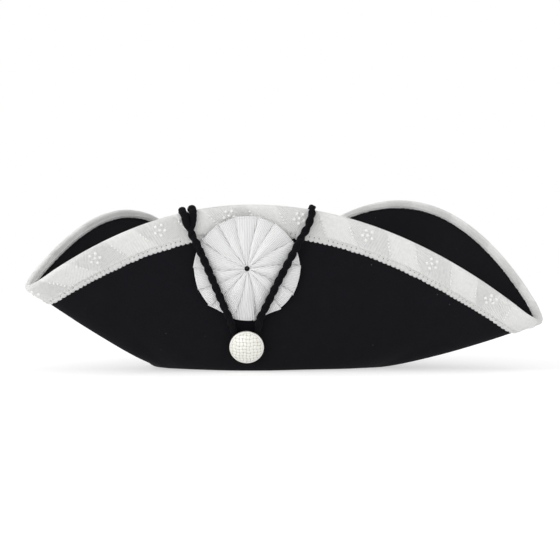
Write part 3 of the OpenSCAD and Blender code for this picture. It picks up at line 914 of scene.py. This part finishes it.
def spot(h, z):
    """Station and depth of the place at (h, z) on the trimmed panel, seen square on."""
    s, d = 7.0, 60.0
    for _ in range(8):
        p = mid(s, d)
        ps, pd = (mid(s + 0.1, d) - p) / 0.1, mid(s, d + 1) - p
        miss = (h - p @ RIGHT, z - p[2])
        det = (ps @ RIGHT) * pd[2] - (pd @ RIGHT) * ps[2]
        s += (miss[0] * pd[2] - miss[1] * (pd @ RIGHT)) / det
        d += (miss[1] * (ps @ RIGHT) - miss[0] * ps[2]) / det
    return s, d


def panel_frame(h, z, lift):
    """Origin and axes (right, up, out) of the felt's outside at (h, z)."""
    s, d = spot(h, z)
    out = -inward(s, d)
    x = unit(RIGHT - out * (RIGHT @ out))
    return mid(s, d) + out * (FELT_T / 2 + lift), x, np.cross(out, x), out


def leaned(origin, x, y, out, degrees):
    a = math.radians(degrees)
    return origin, x, y * math.cos(a) + out * math.sin(a), out * math.cos(a) - y * math.sin(a)


ROSETTE = leaned(*panel_frame(TRIM_H, COCKADE_Z, COCKADE_LIFT), COCKADE_LEAN)


def from_rosette(p):
    o, x, y, z = ROSETTE
    p = np.asarray(p, float)
    return o + x * p[..., :1] + y * p[..., 1:2] + z * (p[..., 2:] + RIBBON_UP)


# ---------------------------------------------------------------- cord
# Where its two ends go over the edge, seen square on, and how it lies there
CORD_LEFT, CORD_RIGHT, CORD_TOP = -67, 27.5, 122
EDGE_HIGH, SETTLE = 0.7, 0.9
FOLD_R = BRAID_OFF + THREAD_D * 1.4 + CORD_GAP + CORD_R * EDGE_HIGH


def cord_rings():
    """(centre, direction away from what it lies on, share of its height) as in the CAD."""
    on_braid = BRAID_GAP + BRAID_T + THREAD_D * 1.4 + CORD_GAP

    def on_felt(h, z, lift, high=1.0):
        o, _, _, out = panel_frame(h, z, lift + CORD_R * high)
        return [*o, *out, high]

    def on_rosette(x, y, up):
        return [*from_rosette([x, y, up + CORD_R]), *ROSETTE[3], 1.0]

    def over_edge(h):
        s = spot(h, CORD_TOP)[0]
        rings = []
        for a in (-60, -20, 20, 60):
            t = math.radians(a)
            out = inward(s, 0) * math.sin(t) - fall(s) * math.cos(t)
            rings.append([*(edge_at(s) + out * FOLD_R), *out, EDGE_HIGH])
        for d in (4, 12, 20, 28):
            n = inward(s, d)
            away = FOLD_R - (SETTLE if d > 12 else 0)
            rings.append([*(mid(s, d) + n * away), *n, 1.0 if d > 4 else EDGE_HIGH])
        return rings

    rings = over_edge(CORD_LEFT)[::-1]
    rings += [on_felt(h, z, on_braid) for h, z in [(CORD_LEFT, CORD_TOP), (-66, 113), (-64, 106)]]
    rings += [on_rosette(*p) for p in [(-38, 18.5, 1.4), (-32.5, 6, 1.8), (-26, -9.4, 2),
                                       (-19.4, -25, 1.7), (-16, -33, 1.5), (-13.2, -39, 1.3)]]
    rings += [on_felt(-31.5, 33, 1.2, 0.8), on_felt(-29, 27, CORD_GAP, 0.7)]
    for a in (180, 215, 250, 290, 325, 360):
        t = math.radians(a)
        rings.append(on_felt(TRIM_H + TURN_R * math.cos(t), BUTTON_Z + TURN_R * math.sin(t),
                             CORD_GAP, 0.7))
    rings += [on_felt(-15.6, 27, CORD_GAP, 0.7), on_felt(-14, 33, 1.2, 0.8)]
    rings += [on_rosette(*p) for p in [(9.6, -39, 1.3), (12.5, -33, 1.5), (16.4, -25, 1.7),
                                       (24, -9.4, 2), (32, 6, 1.8), (38, 17.5, 1.4)]]
    rings += [on_felt(h, z, on_braid) for h, z in [(20.5, 106), (24.5, 113), (CORD_RIGHT, CORD_TOP)]]
    rings += over_edge(CORD_RIGHT)
    return np.array(rings)


CORD_RINGS = cord_rings()


def loop_cord():
    step = 0.7
    path = resample(CORD_RINGS, step)
    c, up, high = path[:, :3], unit(path[:, 3:6]), path[:, 6]
    ahead = unit(np.gradient(c, axis=0))
    up = unit(up - ahead * np.sum(up * ahead, -1, keepdims=True))
    side = np.cross(ahead, up)
    length = np.arange(len(c)) * step
    # The two strands part where the cord folds over the edge on the left
    apart, other = (np.exp(-(np.linalg.norm(c - edge_at(spot(h, CORD_TOP)[0]), axis=1) / 9.0) ** 4)
                    for h in (CORD_LEFT, CORD_RIGHT))
    flat = apart + other
    turn = 15.0
    parts = Parts()
    for ply in (0, 1):
        a = TAU * length / turn + math.pi * ply
        x = np.sin(a) * 0.95 * (1 - apart) + (3.9 if ply else -4.4) * apart ** 0.7
        y = np.cos(a) * 0.9 * high * (1 - apart) - 1.2 * flat
        r = 2.1 * (1 - apart) + 3.5 * apart
        r = r * (1 + 0.035 * np.sin(length * 1.7 + 2 * ply) + 0.03 * np.sin(length * 0.61))
        r = r * (0.62 + 0.38 * high)
        centre = c + side * col(x) + up * col(y)
        add_tube(parts, centre, up, r, 12, 1 - 0.3 * flat)
    finished(parts.piece("loop_cord_twisted"), "hat", CORD, "black_cord", "loop_cord")


loop_cord()


def cord_tacks():
    parts = Parts()
    for h in (CORD_LEFT, CORD_RIGHT):
        s = spot(h, CORD_TOP)[0]
        for d in (18.5, 20, 21.5, 23.5, 25, 26.5):
            n = inward(s, d)
            x = unit(np.cross(fall(s), n))
            t = np.linspace(-0.35, math.pi + 0.35, 15)
            centre = mid(s, d) + n * (FOLD_R - SETTLE)
            r = CORD_R + 0.35
            loop = centre + x * col(np.cos(t) * r) + n * col(np.sin(t) * r)
            ends = [mid(s, d) + n * (FELT_T / 2 - 0.3) + x * (side * (CORD_R + 0.9))
                    for side in (1, -1)]
            path = np.concatenate([[ends[0]], loop, [ends[1]]])
            add_tube(parts, path, np.tile(fall(s), (len(path), 1)), THREAD_D / 2, 6)
    finished(parts.piece("cord_end_stitches"), "hat", BLACK_THREAD, "black_thread", "cord_tacks")


cord_tacks()


def brim_tacks():
    parts = Parts()
    for i in range(3):
        s = i * PANEL_N + SIDE_N * (SPAN[i, 0] - NOSE_L) / (SPAN[i].sum() - 2 * NOSE_L)
        d = 80.0
        for _ in range(5):
            d += (mid(s, d)[2] - TACK_Z) / (mid(s, d)[2] - mid(s, d + 1)[2])
        far = mid(s, d) + inward(s, d) * (FELT_T / 2 - 1)
        near = compass(bearing(s)) * (base_r(bearing(s)) + FELT_T / 2 - 1)
        near = np.array([near[0], near[1], far[2]])
        share = np.linspace(0, 1, 24)
        line = near + (far - near) * col(share)
        side = unit(np.cross(unit(far - near), UP))
        for ply in range(3):
            a = share * TAU * 2.5 + TAU * ply / 3
            r = 0.33
            add_tube(parts, line + side * col(np.cos(a) * r) + UP * col(np.sin(a) * r),
                     np.tile(UP, (24, 1)), 0.28, 6)
    finished(parts.piece("brim_tie_threads"), "hat", BLACK_THREAD, "black_thread", "brim_tacks")


brim_tacks()


# ---------------------------------------------------------------- cockade
# Where one pleat's folded edge lies on the next, in degrees clockwise from the top
FOLDS = [-32, -12, 14, 33, 60, 88, 119, 141, 171, 196, 225, 247, 272, 303]


def press(x, y):
    """How far the two legs of the cord press the ribbon down at (x, y)."""
    legs = [((-38, 18.5), (-13.2, -39)), ((38, 17.5), (9.6, -39))]
    low = np.zeros_like(x)
    for (ax, ay), (bx, by) in legs:
        along = np.array([bx - ax, by - ay]) / math.hypot(bx - ax, by - ay)
        away = np.abs((x - ax) * along[1] - (y - ay) * along[0])
        low = np.maximum(low, np.exp(-(away / 4.5) ** 2))
    return low


def tucks(a, half):
    """Half width of a pleat at radius a, and how far it laps over one neighbour and under the other."""
    w = a * math.tan(half)
    ribbon = 2 * w[-1] + 3.2
    spare = (ribbon - 2 * w) / 2
    over = np.minimum(0.28 * spare, 0.5 * w + 0.1)
    under = np.minimum(0.72 * spare, 1.5 * w + 0.2)
    return w, over, under


def cockade_ribbon():
    stations = 34
    inner = 2.0
    a = inner + (COCKADE_D / 2 - 1.3 - inner) * np.linspace(0, 1, stations) ** 0.9
    out = (a - inner) / (a[-1] - inner)
    rng = np.random.default_rng(11)
    folds = [math.radians(90 - f) for f in FOLDS]
    count = len(folds)

    def pleat(k):
        """Half angle of a pleat, and its directions outwards and clockwise."""
        start, end = folds[k % count], folds[(k + 1) % count]
        if end > start:
            end -= TAU
        middle = (start + end) / 2
        return ((start - end) / 2, np.array([[math.cos(middle)], [math.sin(middle)]]),
                np.array([[math.sin(middle)], [-math.cos(middle)]]))

    columns, across = [], []
    total = 0.0
    for k in range(count):
        half, d, t = pleat(k)
        w, over, under = tucks(a, half)
        puff = rng.uniform(0.8, 1.35)
        lift = rng.uniform(-0.15, 0.35)
        ripple = rng.uniform(0, 1)
        rise = 0.75 + 2.6 * np.exp(-((out - 0.36) / 0.34) ** 2)
        # the top run, from its folded edge (high) to where it tucks under the next pleat (low)
        first = total
        for q in np.linspace(0, 1, 15):
            x = -(w + over) + (2 * w + over + under) * q
            seen = np.clip(q * (2 * w + over + under) / (2 * w + over), 0, 1)
            z = 1.9 + lift - (1.4 + lift) * seen ** 1.4
            z = z + puff * rise * np.sin(math.pi * np.minimum(seen * 1.08, 1)) ** 0.9
            z = z + 0.55 * (1 - out) * np.sin(TAU * (1.6 * seen + ripple)) * np.sin(math.pi * seen)
            # the pleat's outer edge is drawn out towards a circle
            reach = a + 0.65 * out ** 2 * np.maximum(w ** 2 - x ** 2, 0) / (2 * a)
            columns.append((d * reach + t * x, z))
            across.append(first + x + w[-1] + over[-1])
        total += (2 * w + over + under)[-1]
        # the return run beneath the next pleat's high edge
        next_half, nd, nt = pleat(k + 1)
        nw, nover, _ = tucks(a, next_half)
        columns.append((d * a + t * (w + under + 0.1), 0.7 + 0 * a))
        across.append(total + 0 * a)
        for q in (0.15, 0.5, 0.85):
            p = (1 - q) * (d * a + t * (w + under)) + q * (nd * a - nt * (nw + nover))
            columns.append((p, 0.9 + 0.25 * q + 0 * a))
            across.append(total + q * (over[-1] + under[-1]) + 0 * a)
        total += over[-1] + under[-1]
        columns.append((nd * a - nt * (nw + nover + 0.15), 1.3 + 0 * a))
        across.append(total + 0 * a)
    grid = []
    for p, z in columns:
        # the bottom flap is whole, and the pleats either side of it are pulled up a little
        turn = np.degrees(np.arctan2(p[0], p[1]))
        short = 0.04 * sum(smooth((17 - np.abs(turn - m)) / 14) for m in (155, -149))
        p = p * (1 - short * out ** 3)
        # the pleats sink to the stitch at the centre, and follow the panel at the rim
        sink = -0.9 * out ** 2 - 1.1 * np.exp(-(a / 3.2) ** 2)
        low = press(p[0], p[1])
        height = (z * (1 - 0.45 * low) + sink)
        bulge = 1.3 * np.exp(-((p[0] + 1.5) / 12) ** 2 - ((p[1] + 14) / 16) ** 2) * (1 - low)
        height = np.maximum(height + bulge, -0.85)
        grid.append(np.stack([p[0], p[1], height], 1))
    cols = len(grid)
    local = np.array(grid).transpose(1, 0, 2)
    # thickness, given along the surface's own normals
    down = np.gradient(local, axis=0)
    side = np.roll(local, -1, 1) - np.roll(local, 1, 1)
    normal = unit(np.cross(down, side) + 1e-9)
    thick = 0.14
    front = from_rosette((local + normal * thick).reshape(-1, 3))
    rear = from_rosette((local - normal * thick).reshape(-1, 3))
    n = len(front)
    uv = np.stack([np.array(across).T, np.broadcast_to(a[:, None], (stations, cols))], -1)
    uv = uv.reshape(-1, 2) / 100
    last = (stations - 1) * cols
    faces = [grid_faces(stations, cols, flip=True), grid_faces(stations, cols, n),
             bridge(0, n, cols), bridge(n + last, last, cols)]
    rosette = make_piece("cockade_pleats", np.concatenate([front, rear]), faces,
                         np.concatenate([uv, uv]))
    finished(rosette, "hat", RIBBON, "white_ribbon", "cockade_ribbon")


cockade_ribbon()


def cockade_stitch():
    """A few turns of dark thread drawn through the rosette's centre."""
    parts = Parts()
    t = np.linspace(0, TAU * 5, 110)
    r = 0.55 + 0.45 * np.sin(t * 0.63)
    knot = np.stack([r * np.cos(t), r * np.sin(t * 1.13), 0.5 + 0.55 * np.sin(t * 0.41 + 1)], 1)
    add_tube(parts, from_rosette(knot), np.tile(ROSETTE[3], (len(t), 1)), 0.26, 6)
    stem = np.stack([0 * t[:8], 0 * t[:8], np.linspace(-4.2, 0.6, 8)], 1)
    add_tube(parts, from_rosette(stem), np.tile(ROSETTE[1], (8, 1)), 0.5, 8)
    finished(parts.piece("cockade_knot"), "hat", BLACK_THREAD, "black_thread", "cockade_stitch")


cockade_stitch()


# ---------------------------------------------------------------- button
def disc_grid(n):
    """An even grid on the unit disc, from a square folded out to the circle."""
    u = np.linspace(-1, 1, n)
    x, y = np.meshgrid(u, u, indexing="ij")
    big = np.maximum(np.abs(x), np.abs(y))
    with np.errstate(invalid="ignore", divide="ignore"):
        k = np.where(big > 0, big / np.hypot(x, y), 0)
    # blend: square near the middle, round at the rim
    blend = big ** 2
    k = np.where(big > 0, (1 - blend) * 1.0 + blend * k, 1)
    return x * k, y * k


def weave_height(x, y, rng, cell=2.7):
    """Basket weave in short raised dashes, each square turned from the next; 0 in the grooves."""
    gx = (x + 0.3 * np.sin(y * 0.9 + 1)) / cell
    gy = (y + 0.3 * np.sin(x * 0.8)) / cell
    fx, fy = np.mod(gx, 1) - 0.5, np.mod(gy, 1) - 0.5
    cx, cy = np.floor(gx).astype(int) + 8, np.floor(gy).astype(int) + 8
    lying = rng.random((20, 20))[cx, cy] < 0.75
    along, over = np.where(lying, fx, fy), np.where(lying, fy, fx)
    uneven = rng.uniform(0.65, 1.0, (20, 20))[cx, cy]
    return (np.sqrt(np.maximum(1 - (np.abs(over) * 2) ** 3, 0))
            * np.maximum(1 - (np.abs(along) * 2) ** 8, 0) * uneven)


def button_shell():
    n = 97
    r = BUTTON_D / 2
    x, y = disc_grid(n)
    x, y = x * r, y * r
    rr = np.hypot(x, y)
    big = (r * r + BUTTON_DOME ** 2) / (2 * BUTTON_DOME)
    dome = np.sqrt(np.maximum(big * big - rr * rr, 0)) - (big - BUTTON_DOME)
    crown = weave_height(x, y, np.random.default_rng(7))
    inside = smooth((r - 1.1 - rr) / 0.5)
    rim = np.exp(-((rr - (r - 0.55)) / 0.4) ** 2)
    z = RIM_H + dome + 0.55 * (crown - 0.7) * inside + 0.18 * rim
    # Painted shade: low in the weave's grooves, and a painted shadow line just inside the rim
    shade = np.where(inside > 0.5, crown, 1 - 0.85 * np.exp(-((rr - (r - 1.1)) / 0.25) ** 2))
    top = np.stack([x, y, z], -1).reshape(-1, 3)
    edge = np.concatenate([np.arange(n - 1), np.arange(n - 1) * n + n - 1,
                           n * n - 1 - np.arange(n - 1), (n - 1 - np.arange(n - 1)) * n])
    ring = top[edge]
    turn = np.arctan2(ring[:, 1], ring[:, 0])
    rows = [(r + 0.1, 1.15), (r + 0.12, 0.8), (r + 0.03, 0.3), (r - 0.3, 0.0), (r - 0.8, 0.1),
            (r - 0.8, 1.0), (r - 2.0, 1.6), (r - 6.5, 3.8), (0.4, 4.9)]
    skirt = np.concatenate([np.stack([q * np.cos(turn), q * np.sin(turn), 0 * turn + z_], 1)
                            for q, z_ in rows])
    o, ax, ay, az = panel_frame(TRIM_H, BUTTON_Z, BACK_UP)
    local = np.concatenate([top, skirt])
    points = o + ax * local[:, :1] + ay * local[:, 1:2] + az * local[:, 2:]
    m, base = len(edge), len(top)
    j = np.arange(m)
    k = (j + 1) % m
    first = np.stack([edge[k], edge[j], base + j, base + k], 1)
    faces = [grid_faces(n, n, wrap=False, flip=True), first,
             grid_faces(len(rows), m, base), np.array([base + (len(rows) - 1) * m + j])]
    value = np.concatenate([shade.ravel(), np.ones(len(skirt))])
    shell = make_piece("button_woven_face", points, faces, shade=value)
    finished(shell, "button", BUTTON, "button_white", "button_shell")


button_shell()


# ---------------------------------------------------------------- CAD pieces seen as they are
for node, material in (("cockade_backing", BUCKRAM), ("thread_anchor", THREAD_WRAPS),
                       ("thread_loop", THREAD_WRAPS), ("button_back", METAL),
                       ("button_shank", METAL)):
    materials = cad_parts[node].data.materials
    materials.clear()
    materials.append(material)
